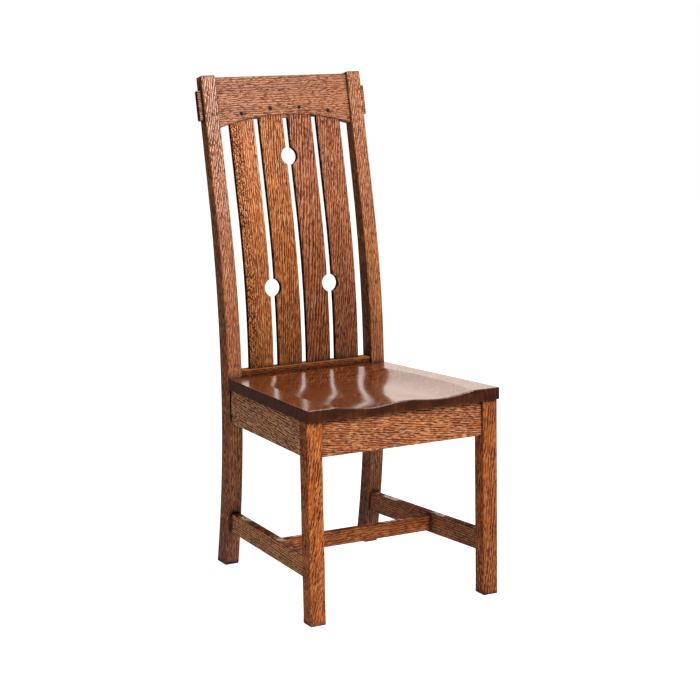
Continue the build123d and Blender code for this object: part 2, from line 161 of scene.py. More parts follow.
@dataclass(frozen=True)
class Board:
    """One oak board, and how its figure differs from its neighbours'.

    Attributes:
        node: The CAD node that the board dresses.
        grain: How the board lies.
        lines: The dark growth lines.
        rays: The pale ray flecks.
        pores: The dark pores.
        ground: Colour of the wood between the lines.
        ray_tint: Colour of the ray flecks.
        tone: Brightness of the stain on this board, with 1 as the middle. On the cross stretcher it
            is
        also lowered in part as painted shade.
        painted_foot_shade: Brightness of the board's lower or left end, painted darker as shade, as
            a share of
        the rest.
        patch: How strongly broad orange patches show, from 0 to 1.
        depth: How far a mark reaches into the board, in millimetres.
        rings: Turn of the growth rings from square to the face, in degrees, so that all sides
            show lines.
        edge: How much the board's narrow edges differ from its face, from 0 to 1. On the slats it
        paints their side edges dark as shade, on the rear rail it paints a highlight on its top,
        and on the seat it gives the darker front edge its own colour.
        edge_tint: Colour of those edges.
        speckled: Width of a strip with dense pores along the board's left edge, in millimetres.
    """

    node: str
    grain: Grain
    # Growth lines are about 2 mm apart and are drawn a little coarser, so that they show.
    lines: Marks = Marks(45.0, 5.2, 0.0, 0.9, (0.3, 0.7))
    rays: Marks = Marks(14.0, 2.4, 6.0, 0.35, (0.54, 0.64))
    # Oak pores are about 0.3 mm wide and are drawn coarser for the same reason.
    pores: Marks = Marks(10.0, 1.7, 1.0, 0.7, (0.55, 0.62))
    ground: str = "#a9541a"
    ray_tint: str = "#d28746"
    tone: float = 1.0
    painted_foot_shade: float = 1.0
    patch: float = 0.25
    depth: float = 7.0
    rings: float = 0.0
    edge: float = 0.0
    edge_tint: str = "#2f1208"
    speckled: float = 0.0


@dataclass(frozen=True)
class QuarterSawnOak:
    """White oak sawn on the quarter, wiped with a red-brown stain and lacquered.

    To the eye it is an orange brown with straight darker growth lines, short dark pores and pale
    wavy ray flecks that the stain takes less of. Cut ends drink the stain and turn dark. Shade is
    painted into the inside corners, so joints are drawn with a dark line, and the lower or left end
    of a board can be painted darker as shade. Open grain drinks the lacquer, so dark lines stay
    dull between shining wood.

    Attributes:
        name: The finish's common name.
        early: Colour of the growth lines and of the broad darker drifts.
        patch: Colour of the broad orange patches.
        pore: Colour of the pores.
        end: Colour of the cut ends.
        roughness: Roughness of the lacquer between the dark lines.
        specular: Strength of the lacquer's shine, with 0.5 as the usual level.
        coat: Weight of a gloss coat over the lacquer.
        coat_roughness: Roughness of that coat.
        soak: How much of their own colour the cut ends show, from 0 to 1.
        end_window: How squarely a face looks along the grain where it starts to be, and fully is,
            a cut end.
        edge_window: The same for the narrow edges, which look across the grain.
        painted_shade_reach: How far from an inside corner shade is painted, in millimetres.
        painted_shade_window: How open a corner is where the painted shade is full and where it
            ends.
        painted_shade_tone: Brightness of the painted shade in the tightest corners.
        painted_foot_shade_reach: Where the shade painted on the board's lower or left end ends, as
            a share of the
        way from the board's middle to its other end.
        wobble: How far the figure sways, in millimetres along the grain and half that across.
        wobble_size: Length of one sway, in millimetres.
        drift: The broad darker drifts.
        glow: The broad orange patches, which each board shows at its own strength.
        broad_depth: How far drifts and patches reach into the board, in millimetres.
        speckle: The dense short pores of a speckled strip.
        speckle_blend: Half the width over which that strip fades out, in millimetres.
        relief: Strength of the pores' relief.
        relief_depth: Depth of that relief, in millimetres.
        waviness: How far the growth lines waver.
    """

    name: str = "quarter_sawn_oak"
    early: str = "#5c1f04"
    patch: str = "#c8681a"
    pore: str = "#330f02"
    end: str = "#2f1208"
    roughness: float = 0.3
    specular: float = 0.22
    coat: float = 0.0
    coat_roughness: float = 0.2
    soak: float = 0.9
    end_window: tuple[float, float] = (0.4, 0.68)
    edge_window: tuple[float, float] = (0.6, 0.85)
    painted_shade_reach: float = 14.0
    painted_shade_window: tuple[float, float] = (0.45, 0.95)
    painted_shade_tone: float = 0.05
    painted_foot_shade_reach: float = 0.3
    wobble: float = 8.0
    wobble_size: float = 40.0
    drift: Marks = Marks(120.0, 22.0, 0.0, 0.25, (0.40, 0.62))
    glow: Marks = Marks(60.0, 16.0, 0.0, 0.25, (0.48, 0.62))
    broad_depth: float = 60.0
    speckle: Marks = Marks(4.4, 2.4, 0.0, 0.95, (0.52, 0.57))
    speckle_blend: float = 8.0
    relief: float = 0.2
    relief_depth: float = 0.3
    waviness: float = 5.0

    def material(self, board: Board) -> bpy.types.Material:
        """Makes the finish for one board.

        Args:
            board: The board and its figure.

        Returns:
            The board's own material.
        """
        material, tree, output = blank_material(f"{self.name}_{board.node}")
        low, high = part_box(board.node)
        turn = board.grain.turn()
        space = add_node(tree, "NodeTexCoord")
        local = add_node(
            tree, "NodeMapping",
            {
                "Vector": space.outputs["Object"],
                "Location": turn @ (low + high) / -2,
                "Rotation": turn.to_euler(),
            },
        ).outputs["Vector"]
        seed = sum(place * ord(letter) for place, letter in enumerate(board.node)) % 89
        wavy = self._swayed(tree, local, seed)

        lines = self._bands(tree, wavy, board)
        rays = self._figure(tree, wavy, board.rays, board.depth, seed + 3)
        pores = self._figure(tree, local, board.pores, board.depth / 2, seed + 5)
        drift = self._figure(tree, wavy, self.drift, self.broad_depth, seed + 7)
        patches = replace(self.glow, share=board.patch)
        glow = self._figure(tree, wavy, patches, self.broad_depth, seed + 9)
        if board.speckled:
            pores = self._speckle(tree, local, pores, (high - low).x / MM, board, seed + 11)

        ground = self._layer(tree, lines, linear(board.ground), linear(self.early))
        patched = self._layer(tree, glow, ground, linear(self.patch))
        shaded = self._layer(tree, drift, patched, linear(self.early))
        flecked = self._layer(tree, rays, shaded, linear(board.ray_tint))
        colour = self._layer(tree, pores, flecked, linear(self.pore))
        grain = add_node(tree, "NodeMath", {0: lines, 1: pores}, operation="MAXIMUM")
        roughness = self._dulled(tree, grain.outputs["Value"], self.roughness)
        # Narrow edges: painted shade on the slats' sides, a painted highlight on the rear rail's
        # top, and the seat's own darker front edge.
        if board.edge:
            across = board.grain.value[2]
            narrow = self._turned(tree, space, across, board.edge, self.edge_window)
            colour = self._layer(tree, narrow, colour, linear(board.edge_tint))
            roughness = self._dulled(tree, narrow, roughness)
        cut = self._turned(tree, space, board.grain.value[0], self.soak, self.end_window)
        colour = self._layer(tree, cut, colour, linear(self.end))
        half = abs(turn[0].dot(high - low)) / 2
        # The brightness carries painted shade at the board's lower end and in its inside corners.
        tone = self._tone_and_painted_shade(tree, local, board, half)
        toned = add_node(tree, "NodeHueSaturation", {"Color": colour, "Value": tone})
        relief = add_node(
            tree, "NodeBump",
            {"Height": pores, "Strength": self.relief, "Distance": self.relief_depth * MM},
            invert=True,
        )
        shader = add_node(
            tree, "NodeBsdfPrincipled",
            {
                "Base Color": toned.outputs["Color"],
                "Roughness": roughness,
                "Specular IOR Level": self.specular,
                "Normal": relief.outputs["Normal"],
                "Coat Weight": self.coat,
                "Coat Roughness": self.coat_roughness,
            },
        )
        tree.links.new(shader.outputs["BSDF"], output.inputs["Surface"])
        return material

    def _swayed(
        self,
        tree: bpy.types.NodeTree,
        local: bpy.types.NodeSocket,
        seed: float,
    ) -> bpy.types.NodeSocket:
        """Sways the coordinates, so that marks aren't dead straight.

        Args:
            tree: The material's node tree.
            local: Coordinates along, through and across the board.
            seed: Tells this board's sway from the others'.

        Returns:
            The swayed coordinates.
        """
        sway = add_node(
            tree, "NodeTexNoise",
            {"Vector": local, "W": seed, "Scale": 1 / (self.wobble_size * MM), "Detail": 1.0},
            noise_dimensions="4D",
        )
        reach = Vector((self.wobble, 0, self.wobble / 2)) * MM
        return add_node(
            tree, "NodeVectorMath",
            {0: sway.outputs["Color"], 1: reach, 2: local},
            operation="MULTIPLY_ADD",
        ).outputs["Vector"]

    @staticmethod
    def _counted(
        tree: bpy.types.NodeTree,
        place: bpy.types.NodeSocket,
        marks: Marks,
        depth: float,
        rings: float = 0.0,
    ) -> bpy.types.NodeSocket:
        """Leans the coordinates and scales them, so that one unit is one mark.

        Args:
            tree: The material's node tree.
            place: Coordinates along, through and across the board.
            marks: Size and lean of the marks.
            depth: How far a mark reaches into the board, in millimetres.
            rings: Turn of the growth rings from square to the face, in degrees.

        Returns:
            The scaled coordinates.
        """
        leaned = add_node(
            tree, "NodeMapping",
            {"Vector": place, "Rotation": (math.radians(rings), math.radians(marks.lean), 0.0)},
        )
        scale = [1 / (side * MM) for side in (marks.length, depth, marks.width)]
        return add_node(
            tree, "NodeVectorMath",
            {0: leaned.outputs["Vector"], 1: scale},
            operation="MULTIPLY",
        ).outputs["Vector"]

    @staticmethod
    def _mask(
        tree: bpy.types.NodeTree,
        pattern: bpy.types.NodeSocket,
        marks: Marks,
    ) -> bpy.types.NodeSocket:
        """Turns a pattern's level into a mask from 0 to the marks' share.

        Args:
            tree: The material's node tree.
            pattern: The pattern's level, from 0 to 1.
            marks: Window and strength of the marks.

        Returns:
            The mask.
        """
        return add_node(
            tree, "NodeMapRange",
            {
                "Value": pattern,
                "From Min": marks.window[0],
                "From Max": marks.window[1],
                "To Max": marks.share,
            },
            interpolation_type="SMOOTHSTEP",
        ).outputs["Result"]

    def _figure(
        self,
        tree: bpy.types.NodeTree,
        place: bpy.types.NodeSocket,
        marks: Marks,
        depth: float,
        seed: float,
    ) -> bpy.types.NodeSocket:
        """Draws one family of scattered marks.

        Args:
            tree: The material's node tree.
            place: Coordinates along, through and across the board.
            marks: Size, lean and strength of the marks.
            depth: How far a mark reaches into the board, in millimetres.
            seed: Tells this pattern from the others.

        Returns:
            The marks' mask.
        """
        scaled = self._counted(tree, place, marks, depth)
        noise = add_node(
            tree, "NodeTexNoise",
            {"Vector": scaled, "W": seed, "Scale": 1.0, "Detail": 0.0},
            noise_dimensions="4D",
        )
        return self._mask(tree, noise.outputs["Fac"], marks)

    def _bands(
        self,
        tree: bpy.types.NodeTree,
        place: bpy.types.NodeSocket,
        board: Board,
    ) -> bpy.types.NodeSocket:
        """Draws growth lines side by side.

        Args:
            tree: The material's node tree.
            place: Coordinates along, through and across the board.
            board: The board and its figure.

        Returns:
            The lines' mask.
        """
        scaled = self._counted(tree, place, board.lines, board.depth, board.rings)
        wave = add_node(
            tree, "NodeTexWave",
            {
                "Vector": scaled,
                # One wave is pi / 10 units long at a scale of one.
                "Scale": math.pi / 10,
                "Distortion": self.waviness,
                "Detail": 1.0,
                "Detail Scale": 1.0,
            },
            wave_type="BANDS",
            bands_direction="Z",
        )
        return self._mask(tree, wave.outputs["Fac"], board.lines)

    @staticmethod
    def _layer(
        tree: bpy.types.NodeTree,
        mask: bpy.types.NodeSocket,
        under: Any,
        over: Any,
    ) -> bpy.types.NodeSocket:
        """Lays one colour over another where a mask says so.

        Args:
            tree: The material's node tree.
            mask: How much of the upper colour shows.
            under: The lower colour, or the socket that gives it.
            over: The upper colour, or the socket that gives it.

        Returns:
            The socket with the mixed colour.
        """
        inputs = {0: mask, 6: under, 7: over}
        return add_node(tree, "NodeMix", inputs, data_type="RGBA").outputs[2]

    @staticmethod
    def _dulled(
        tree: bpy.types.NodeTree,
        mask: bpy.types.NodeSocket,
        roughness: Any,
    ) -> bpy.types.NodeSocket:
        """Takes the shine away where a mask says so.

        Args:
            tree: The material's node tree.
            mask: How dull the surface gets.
            roughness: The roughness elsewhere, or the socket that gives it.

        Returns:
            The socket with the roughness.
        """
        inputs = {"Value": mask, "To Min": roughness, "To Max": 1.0}
        return add_node(tree, "NodeMapRange", inputs).outputs["Result"]

    @staticmethod
    def _turned(
        tree: bpy.types.NodeTree,
        space: bpy.types.Node,
        axis: tuple[int, int, int],
        share: float,
        window: tuple[float, float],
    ) -> bpy.types.NodeSocket:
        """Masks the faces that look along an axis, either way.

        Args:
            tree: The material's node tree.
            space: The texture coordinates.
            axis: The axis, in the chair's frame.
            share: The mask's level on those faces.
            window: How squarely a face looks that way where the mask starts and is full.

        Returns:
            The mask.
        """
        facing = add_node(
            tree, "NodeVectorMath",
            {0: space.outputs["Normal"], 1: Vector(axis)},
            operation="DOT_PRODUCT",
        )
        level = add_node(tree, "NodeMath", {0: facing.outputs["Value"]}, operation="ABSOLUTE")
        return add_node(
            tree, "NodeMapRange",
            {
                "Value": level.outputs["Value"],
                "From Min": window[0],
                "From Max": window[1],
                "To Max": share,
            },
        ).outputs["Result"]

    def _tone_and_painted_shade(
        self,
        tree: bpy.types.NodeTree,
        local: bpy.types.NodeSocket,
        board: Board,
        half: float,
    ) -> bpy.types.NodeSocket:
        """Gives the board's brightness: its stain's tone, with shade painted towards its lower or
        left end and into the inside corners.

        Args:
            tree: The material's node tree.
            local: Coordinates along, through and across the board.
            board: The board and its figure.
            half: Half the board's length, in metres.

        Returns:
            The brightness.
        """
        # Painted shade: the board darkens towards its lower or left end.
        along = add_node(tree, "NodeSeparateXYZ", {"Vector": local}).outputs["X"]
        level = add_node(
            tree, "NodeMapRange",
            {
                "Value": along,
                "From Min": -half,
                "From Max": half * self.painted_foot_shade_reach,
                "To Min": board.tone * board.painted_foot_shade,
                "To Max": board.tone,
            },
        )
        # Painted shade: ambient occlusion darkens the colour in the inside corners and at the
        # joints.
        corner = add_node(
            tree, "NodeAmbientOcclusion",
            {"Distance": self.painted_shade_reach * MM},
            samples=4,
        )
        painted_corner_shade = add_node(
            tree, "NodeMapRange",
            {
                "Value": corner.outputs["AO"],
                "From Min": self.painted_shade_window[0],
                "From Max": self.painted_shade_window[1],
                "To Min": self.painted_shade_tone,
            },
        )
        return add_node(
            tree, "NodeMath",
            {0: level.outputs["Result"], 1: painted_corner_shade.outputs["Result"]},
            operation="MULTIPLY",
        ).outputs["Value"]

    def _speckle(
        self,
        tree: bpy.types.NodeTree,
        local: bpy.types.NodeSocket,
        pores: bpy.types.NodeSocket,
        width: float,
        board: Board,
        seed: float,
    ) -> bpy.types.NodeSocket:
        """Adds dense short pores along a board's left edge.

        Args:
            tree: The material's node tree.
            local: Coordinates along, through and across the board.
            pores: The mask of the board's usual pores.
            width: The board's width, in millimetres.
            board: The board and its figure.
            seed: Tells this pattern from the others.

        Returns:
            The mask of all pores.
        """
        across = add_node(tree, "NodeSeparateXYZ", {"Vector": local}).outputs["Z"]
        inner = width / 2 - board.speckled
        strip = add_node(
            tree, "NodeMapRange",
            {
                "Value": across,
                "From Min": (inner - self.speckle_blend) * MM,
                "From Max": (inner + self.speckle_blend) * MM,
            },
        ).outputs["Result"]
        dots = self._figure(tree, local, self.speckle, board.depth, seed)
        held = add_node(tree, "NodeMath", {0: strip, 1: dots}, operation="MULTIPLY")
        both = {0: pores, 1: held.outputs["Value"]}
        return add_node(tree, "NodeMath", both, operation="MAXIMUM").outputs["Value"]


@dataclass(frozen=True)
class PlainFinish:
    """A plain surface: its colour, a second colour that mottles it, and its gloss.

    Attributes:
        name: The common name of what it is.
        main: Colour over most of the surface.
        second: Colour of the mottle.
        mark: Size of one mark along X, Y and Z, in millimetres.
        roughness: Roughness of the surface.
        metallic: 1 on a metal.
        specular: Strength of the surface's reflection, with 0.5 as the usual level.
    """

    name: str
    main: str
    second: str
    mark: tuple[float, float, float]
    roughness: float
    metallic: float = 0.0
    specular: float = 0.5

    def material(self) -> bpy.types.Material:
        """Makes the finish.

        Returns:
            The material.
        """
        material, tree, output = blank_material(self.name)
        space = add_node(tree, "NodeTexCoord")
        scaled = add_node(
            tree, "NodeVectorMath",
            {0: space.outputs["Object"], 1: [1 / (side * MM) for side in self.mark]},
            operation="MULTIPLY",
        )
        noise = add_node(
            tree, "NodeTexNoise",
            {"Vector": scaled.outputs["Vector"], "Scale": 1.0, "Detail": 3.0},
        )
        colour = add_node(
            tree, "NodeMix",
            {0: noise.outputs["Fac"], 6: linear(self.main), 7: linear(self.second)},
            data_type="RGBA",
        )
        shader = add_node(
            tree, "NodeBsdfPrincipled",
            {
                "Base Color": colour.outputs[2],
                "Roughness": self.roughness,
                "Metallic": self.metallic,
                "Specular IOR Level": self.specular,
            },
        )
        tree.links.new(shader.outputs["BSDF"], output.inputs["Surface"])
        return material


@dataclass
class ChairBack:
    """The raked back: posts, crest rail with its pegs, slats and rear rail.

    Attributes:
        oak: Finish of crest, slats and rail.
        post_oak: Finish of the posts.
        posts: The back posts.
        boards: The crest, the slats and the rear rail.
        peg: Finish of the pegs.
    """

    oak: QuarterSawnOak = QuarterSawnOak()
    # The posts are polished a little more, so their upper ends catch a pale sheen.
    post_oak: QuarterSawnOak = QuarterSawnOak(specular=0.45)
    posts: tuple[Board, ...] = (
        # The posts' lower ends, under the seat, are painted darker as shade.
        Board(
            "back_post_left", Grain.UPRIGHT, rings=45.0, depth=5.0,
            lines=Marks(40.0, 3.8, -2.0, 0.65),
            rays=Marks(16.0, 2.2, -4.0, 0.4, (0.55, 0.66)),
            ground="#bd703c", ray_tint="#e6b287", painted_foot_shade=0.6,
        ),
        Board(
            "back_post_right", Grain.UPRIGHT, rings=45.0, depth=5.0,
            lines=Marks(40.0, 3.8, -2.0, 0.75),
            rays=Marks(16.0, 2.2, -4.0, 0.35, (0.55, 0.66)),
            ground="#bd6f33", ray_tint="#e6b184", painted_foot_shade=0.3,
        ),
    )
    boards: tuple[Board, ...] = (
        Board(
            "crest_rail", Grain.CROSSWISE,
            lines=Marks(44.0, 4.8, 1.0, 0.58),
            rays=Marks(12.0, 1.9, 1.0, 0.3, (0.55, 0.66)),
            ground="#b06c43", ray_tint="#dcac88", patch=0.1,
        ),
        # The slats are painted darker towards the seat as shade, and their narrow side edges are
        # painted dark as shade.
        Board(
            "slat_outer_left", Grain.UPRIGHT, depth=25.0, edge=0.9, speckled=26.0,
            lines=Marks(50.0, 5.0, 0.0, 0.75),
            rays=Marks(14.0, 2.0, 3.0, 0.4, (0.54, 0.64)),
            ground="#c87436", ray_tint="#e8b27c", tone=1.2, painted_foot_shade=0.55,
        ),
        Board(
            "slat_inner_left", Grain.UPRIGHT, depth=25.0, edge=0.9,
            lines=Marks(44.0, 5.2, -3.0, 0.9),
            rays=Marks(18.0, 2.2, -8.0, 0.4, (0.54, 0.64)),
            ground="#b9682a", ray_tint="#e4ad75", patch=0.4, tone=1.1, painted_foot_shade=0.55,
        ),
        Board(
            "slat_inner_right", Grain.UPRIGHT, depth=25.0, edge=0.9,
            lines=Marks(80.0, 7.0, -6.0, 0.95),
            rays=Marks(26.0, 2.4, -10.0, 0.35, (0.54, 0.64)),
            ground="#ac6236", ray_tint="#dfa880", painted_foot_shade=0.55,
        ),
        Board(
            "slat_outer_right", Grain.UPRIGHT, depth=25.0, edge=0.9,
            lines=Marks(50.0, 5.2, -8.0, 0.9),
            rays=Marks(15.0, 2.0, -12.0, 0.35, (0.55, 0.65)),
            ground="#b0653a", ray_tint="#dfa880", patch=0.15, painted_foot_shade=0.5,
        ),
        # The rear rail's top and bottom faces are painted a pale gold as a highlight along its top
        # edge.
        Board("rear_rail", Grain.CROSSWISE, edge=0.65, edge_tint="#dd9350", tone=0.68),
    )
    # Stained end grain swallows light: the pegs read as flat near-black dots.
    peg: PlainFinish = PlainFinish(
        "stained_end_grain_peg", "#160a06", "#2a130a", (0.8, 0.8, 0.8), 0.6, specular=0.15,
    )

    def dress(self) -> None:
        """Gives every piece of the back its finish."""
        for board in self.posts:
            dress(board.node, self.post_oak.material(board))
        for board in self.boards:
            dress(board.node, self.oak.material(board))
        dress("crest_pegs", self.peg.material())


@dataclass
class SeatFrame:
    """What carries the seat: front legs, aprons, stretchers and the glued corner blocks.

    Attributes:
        oak: Finish of legs, aprons and stretchers.
        boards: Those legs, aprons and stretchers.
        block: Finish of the corner blocks.
        block_nodes: The corner blocks.
    """

    oak: QuarterSawnOak = QuarterSawnOak(roughness=0.32, specular=0.35)
    boards: tuple[Board, ...] = (
        Board(
            "front_leg_left", Grain.UPRIGHT, rings=45.0, depth=5.0,
            lines=Marks(18.0, 4.2, -6.0, 0.95, (0.3, 0.7)),
            rays=Marks(12.0, 2.2, -24.0, 0.5, (0.53, 0.61)),
            ground="#ac5519", ray_tint="#d98f4a", patch=0.5, tone=0.95, painted_foot_shade=0.85,
        ),
        Board(
            "front_leg_right", Grain.UPRIGHT, rings=45.0, depth=5.0,
            lines=Marks(40.0, 4.4, -4.0, 0.95, (0.3, 0.7)),
            rays=Marks(12.0, 2.2, -6.0, 0.45, (0.52, 0.60)),
            ground="#b0581d", patch=0.4, tone=0.76, painted_foot_shade=0.85,
        ),
        Board(
            "front_apron", Grain.CROSSWISE,
            lines=Marks(16.0, 4.8, -8.0, 1.0, (0.28, 0.72)),
            rays=Marks(13.0, 1.9, -10.0, 0.5, (0.54, 0.62)),
            ground="#b86c3d", ray_tint="#e0aa7c", tone=0.93,
        ),
        Board(
            "side_apron_left", Grain.LENGTHWISE,
            lines=Marks(26.0, 5.4, 3.0, 1.0, (0.3, 0.7)),
            rays=Marks(16.0, 2.4, 10.0, 0.55, (0.53, 0.61)),
            ground="#c58656", ray_tint="#eabf97", tone=1.2,
        ),
        Board(
            "side_apron_right", Grain.LENGTHWISE,
            lines=Marks(26.0, 5.4, -3.0, 1.0, (0.3, 0.7)),
            rays=Marks(16.0, 2.6, -10.0, 0.6, (0.53, 0.60)),
            ground="#bf7f50", ray_tint="#e2b48c",
        ),
        Board(
            "side_stretcher_left", Grain.LENGTHWISE, depth=20.0,
            ground="#b37b49", ray_tint="#e0ae80", tone=1.15,
        ),
        Board(
            "side_stretcher_right", Grain.LENGTHWISE, depth=20.0,
            ground="#8f5c37", ray_tint="#c29468", tone=0.85,
        ),
        # The cross stretcher's tone is lowered in part to paint the shade that the right leg casts
        # on it.
        Board("cross_stretcher", Grain.CROSSWISE, depth=20.0, ground="#a85c26", tone=0.85),
    )
    # Bare sawn poplar is pale and dull, with faint broad streaks along the grain.
    block: PlainFinish = PlainFinish(
        "plain_sawn_poplar", "#b08a5c", "#8f6c44", (60.0, 60.0, 5.0), 0.6,
    )
    block_nodes: tuple[str, ...] = tuple(
        f"corner_block_{end}_{side}" for end in ("front", "rear") for side in ("left", "right")
    )

    def dress(self) -> None:
        """Gives every piece of the seat frame its finish."""
        for board in self.boards:
            dress(board.node, self.oak.material(board))
        block = self.block.material()
        for node in self.block_nodes:
            dress(node, block)


@dataclass
class PanHeadScrews:
    """The seat's screws, with rounded pan heads, cross recesses and points.

    All lengths are in millimetres.

    Attributes:
        node: The CAD node that they stand for.
        name: The new piece's name.
        finish: Finish of the screws.
        shank_radius: Radius of the shank.
        point_length: Length of the tapered point.
        head_radius: Radius of the head.
        head_height: Height of the head.
        head_rim: Height from the head's top down to where its side starts.
        head_crown: Radius of the head's flat top.
        recess_arm: Reach of the cross recess from its middle.
        recess_half_width: Half the width of the recess's arms.
        recess_depth: Depth of the recess.
        sides: Number of steps round a screw.
        crease: Angle past which an edge looks sharp, in degrees.
        weld: Distance within which vertices are one.
    """

    node: str = "seat_screws"
    name: str = "cross_recess_screws"
    # Zinc plating is a greyish white metal with a soft, slightly cloudy shine.
    finish: PlainFinish = PlainFinish(
        "zinc_plated_steel", "#b9b4a6", "#8f8a7d", (2.0, 2.0, 2.0), 0.35, metallic=1.0,
    )
    shank_radius: float = 2.1
    point_length: float = 7.0
    head_radius: float = 4.2
    head_height: float = 2.6
    head_rim: float = 0.9
    head_crown: float = 2.9
    recess_arm: float = 2.1
    recess_half_width: float = 0.55
    recess_depth: float = 1.5
    sides: int = 32
    crease: float = 35.0
    weld: float = 0.001

    def build(self) -> None:
        """Models the screws in the CAD screws' places."""
        shape = bmesh.new()
        for foot, length in self._places():
            self._screw(shape, foot, length)
        # A spin leaves its faces in another order on each run.
        shape.verts.index_update()
        count = len(shape.verts)
        shape.faces.sort(
            key=lambda face: min(corner.index for corner in face.verts) * count
            + max(corner.index for corner in face.verts)
        )
        bmesh.ops.remove_doubles(shape, verts=shape.verts, dist=self.weld * MM)
        bmesh.ops.recalc_face_normals(shape, faces=shape.faces)
        mesh = bpy.data.meshes.new(self.name)
        shape.to_mesh(mesh)
        shape.free()
        mesh.shade_smooth()
        mesh.set_sharp_from_angle(angle=math.radians(self.crease))
        mesh.materials.append(self.finish.material())
        screws = bpy.data.objects.new(self.name, mesh)
        bpy.context.scene.collection.objects.link(screws)
        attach(screws, "root")
        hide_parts(self.node)
        log.info("modelled %s in place of %s", screws.name, self.node)

    def _places(self) -> list[tuple[Vector, float]]:
        """Finds where the CAD screws stand, one in each quarter of the seat.

        Returns:
            For each screw, the middle of its head's lower face and its length, in metres.
        """
        points = [vertex.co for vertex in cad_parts[self.node].data.vertices]
        places = []
        for side, end in ((-1, -1), (1, -1), (-1, 1), (1, 1)):
            own = [point for point in points if point.x * side > 0 and point.y * end > 0]
            low, high = (
                Vector([extreme(point[axis] for point in own) for axis in range(3)])
                for extreme in (min, max)
            )
            middle = (low + high) / 2
            places.append((Vector((middle.x, middle.y, low.z)), high.z - low.z))
        return places

    def _screw(self, shape: bmesh.types.BMesh, foot: Vector, length: float) -> None:
        """Spins one screw and presses the cross into its head.

        Args:
            shape: The mesh that gets the screw.
            foot: Middle of the head's lower face.
            length: Length over all, in metres.
        """
        tip = length / MM
        profile = (
            (0.0, tip),
            (self.shank_radius, tip - self.point_length),
            (self.shank_radius, self.head_height),
            (self.head_radius, self.head_height),
            (self.head_radius, self.head_rim),
            ((self.head_radius + self.head_crown) / 2, self.head_rim / 4),
            (self.head_crown, 0.0),
            (self.recess_arm, 0.0),
            (self.recess_arm, self.recess_depth),
            (0.0, self.recess_depth),
        )
        others = set(shape.verts)
        verts = [
            shape.verts.new(foot + Vector((radius, 0.0, height)) * MM)
            for radius, height in profile
        ]
        edges = [shape.edges.new(pair) for pair in zip(verts, verts[1:])]
        bmesh.ops.spin(
            shape, geom=verts + edges, cent=foot, axis=(0.0, 0.0, 1.0),
            angle=math.tau, steps=self.sides, use_merge=True,
        )
        for corner in set(shape.verts) - others:
            out = corner.co.xy - foot.xy
            in_recess = corner.co.z - foot.z < (self.recess_depth + self.head_height) / 2 * MM
            if in_recess and math.isclose(out.length, self.recess_arm * MM, rel_tol=0.01):
                reach = self._cross(math.atan2(out.y, out.x))
                corner.co.xy = foot.xy + out.normalized() * reach * MM

    def _cross(self, angle: float) -> float:
        """Gives the reach of the cross recess at an angle.

        Args:
            angle: Angle round the screw's axis, in radians.

        Returns:
            Distance from the axis to the recess's wall, in millimetres.
        """
        quarter = math.pi / 2
        from_arm = abs((angle + quarter / 2) % quarter - quarter / 2)
        along_arm = self.recess_arm / math.cos(from_arm)
        beside_arm = self.recess_half_width / max(math.sin(from_arm), 0.01)
        return min(along_arm, beside_arm)


@dataclass
class Seat:
    """The saddled seat plank and the screws that hold it down.

    Attributes:
        oak: Finish of the plank.
        board: The plank.
        screws: The screws.
    """

    oak: QuarterSawnOak = QuarterSawnOak(
        name="gloss_lacquered_oak",
        early="#401503",
        patch="#8f4211",
        end="#3f2113",
        roughness=0.5,
        specular=0.0,
        coat=1.0,
        soak=0.75,
        wobble=26.0,
        wobble_size=70.0,
    )
    board: Board = Board(
        "seat", Grain.SEAT, depth=40.0, edge=0.85, edge_tint="#2c150d",
        lines=Marks(200.0, 30.0, 3.0, 0.5),
        rays=Marks(60.0, 3.0, -58.0, 0.42, (0.55, 0.60)),
        pores=Marks(40.0, 2.6, 0.0, 0.6, (0.50, 0.62)),
        ground="#8a4014", ray_tint="#c07a44", tone=0.97, painted_foot_shade=0.97,
    )
    screws: PanHeadScrews = field(default_factory=PanHeadScrews)

    def dress(self) -> None:
        """Gives the plank its finish and models its screws."""
        dress(self.board.node, self.oak.material(self.board))
        self.screws.build()


